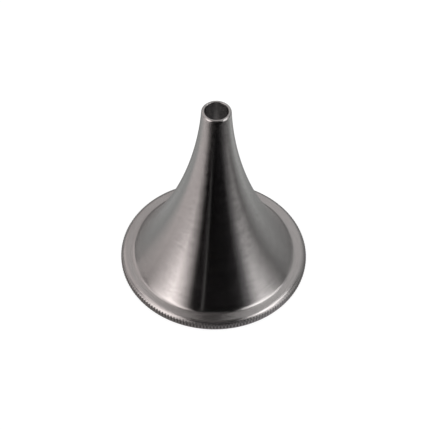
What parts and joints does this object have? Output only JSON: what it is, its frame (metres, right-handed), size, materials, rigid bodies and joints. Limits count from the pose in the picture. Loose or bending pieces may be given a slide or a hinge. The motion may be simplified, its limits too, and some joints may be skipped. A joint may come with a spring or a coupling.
{
  "type": "ear speculum",
  "caption": "Turned metal ear speculum: a hollow trumpet-shaped funnel with a narrow rounded tip, a flared body and a thick round rim with a ledge and straight knurling.",
  "frame": {"origin": "on the axis of the funnel, at the foot of the rim, where it rests", "axes": "+Z along the axis, from the wide mouth up to the narrow tip; X and Y across the rim"},
  "size_m": [0.035, 0.035, 0.039],
  "materials": {
    "turned_steel": "satin turned steel with fine brushing round the axis, brighter on the rounded edges"
  },
  "bodies": {
    "root": {"speculum": "turned_steel"}
  },
  "joints": []
}
